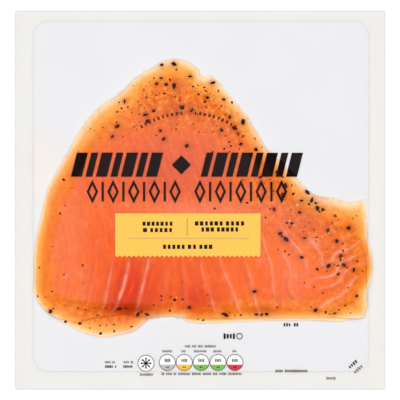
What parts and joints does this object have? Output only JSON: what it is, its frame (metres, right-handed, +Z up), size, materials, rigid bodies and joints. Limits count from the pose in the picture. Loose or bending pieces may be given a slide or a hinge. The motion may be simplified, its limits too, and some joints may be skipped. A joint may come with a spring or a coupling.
{
  "type": "vacuum pack of sliced smoked salmon",
  "caption": "Flat square vacuum pack of peppered smoked salmon slices, stacked on a white card under clear film.",
  "frame": {"origin": "under the middle of the pack, on the surface that it lies on", "axes": "+Z up out of the printed face, +X to the right of the face, +Y towards its top edge"},
  "size_m": [0.21, 0.215, 0.0094],
  "materials": {
    "backing_film": "smooth warm white film",
    "card": "matt white card",
    "salmon": "moist orange flesh with pale lines of fat and cracked black pepper",
    "salmon_edge": "moist thin flesh, pale orange at the edge",
    "clear_film": "thin clear glossy film with a plain printed design"
  },
  "bodies": {
    "root": {"backing_film": "backing_film", "card": "card", "slice_bottom": "salmon_edge", "slice_second": "salmon_edge", "slice_third": "salmon_edge", "slice_top": "salmon", "clear_film": "clear_film"}
  },
  "joints": []
}
